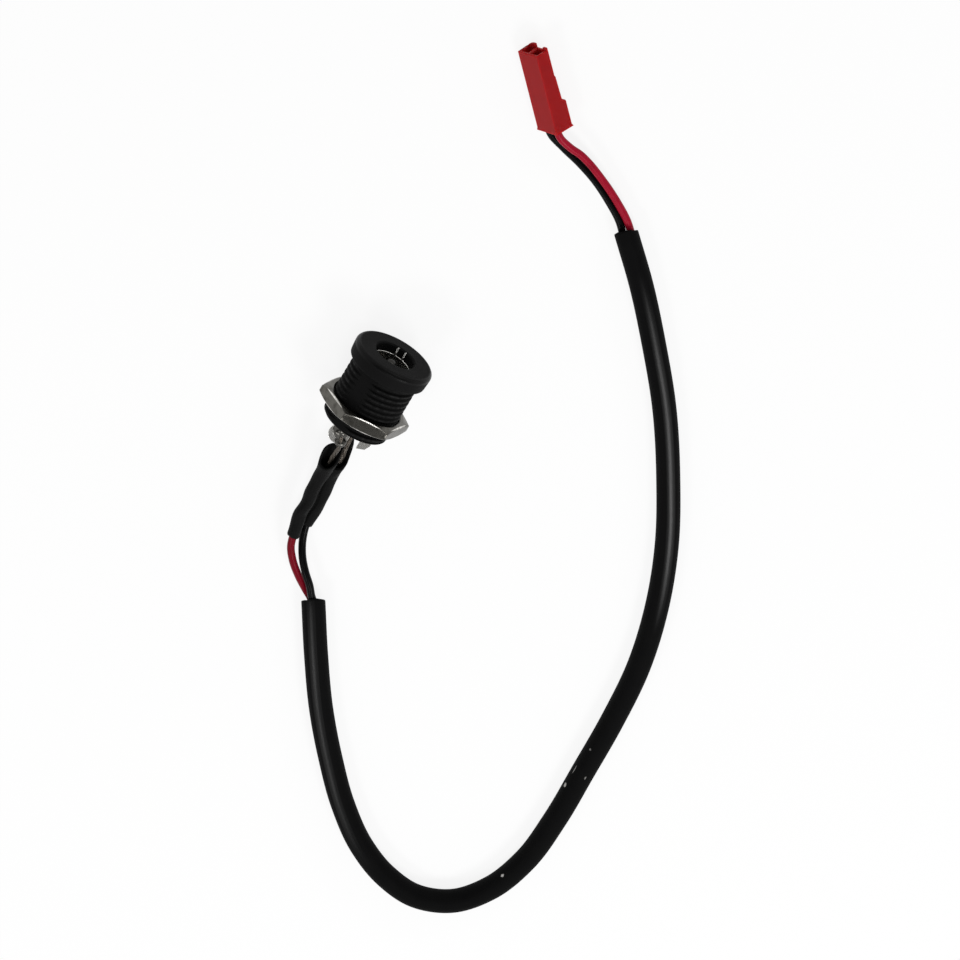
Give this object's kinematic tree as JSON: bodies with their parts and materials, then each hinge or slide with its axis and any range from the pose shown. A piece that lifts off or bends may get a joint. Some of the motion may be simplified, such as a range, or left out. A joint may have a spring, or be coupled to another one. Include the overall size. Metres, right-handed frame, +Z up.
{
  "type": "charging port",
  "caption": "Round panel-mount charging socket with a threaded barrel and a hex nut, wired through a black jacketed lead to a small red latching connector.",
  "frame": {"origin": "on the surface that the socket lies on, below the middle of the socket's length", "axes": "+Y along the socket's axis, from its mouth to its lugs; +Z up; the socket lies on its flange and on a flat of its nut"},
  "size_m": [0.0748, 0.1512, 0.014],
  "materials": {
    "body_plastic": "moulded black plastic, slightly satin",
    "nut_plating": "dull nickel plating with bright edges",
    "core_plastic": "moulded black plastic",
    "contact_plating": "bright plated sheet metal",
    "solder": "smooth grey solder",
    "strands": "tinned copper strands",
    "sleeve": "matt heat-shrink sleeve",
    "red_insulation": "satin insulation",
    "black_insulation": "satin insulation",
    "jacket": "soft black jacket with light scuffs",
    "red_plastic": "moulded red plastic, satin",
    "terminal_metal": "plated brass"
  },
  "bodies": {
    "root": {"jack_body": "body_plastic", "hex_nut": "nut_plating", "insulating_core": "core_plastic", "centre_pin": "contact_plating", "centre_lug": "contact_plating", "shell_contact": "contact_plating", "switch_contact": "contact_plating", "red_solder": "solder", "black_solder": "solder", "red_strands": "strands", "black_strands": "strands", "red_sleeve": "sleeve", "black_sleeve": "sleeve", "red_wire": "red_insulation", "black_wire": "black_insulation", "cable_jacket": "jacket", "connector_housing": "red_plastic", "red_terminal": "terminal_metal", "black_terminal": "terminal_metal"}
  },
  "joints": []
}
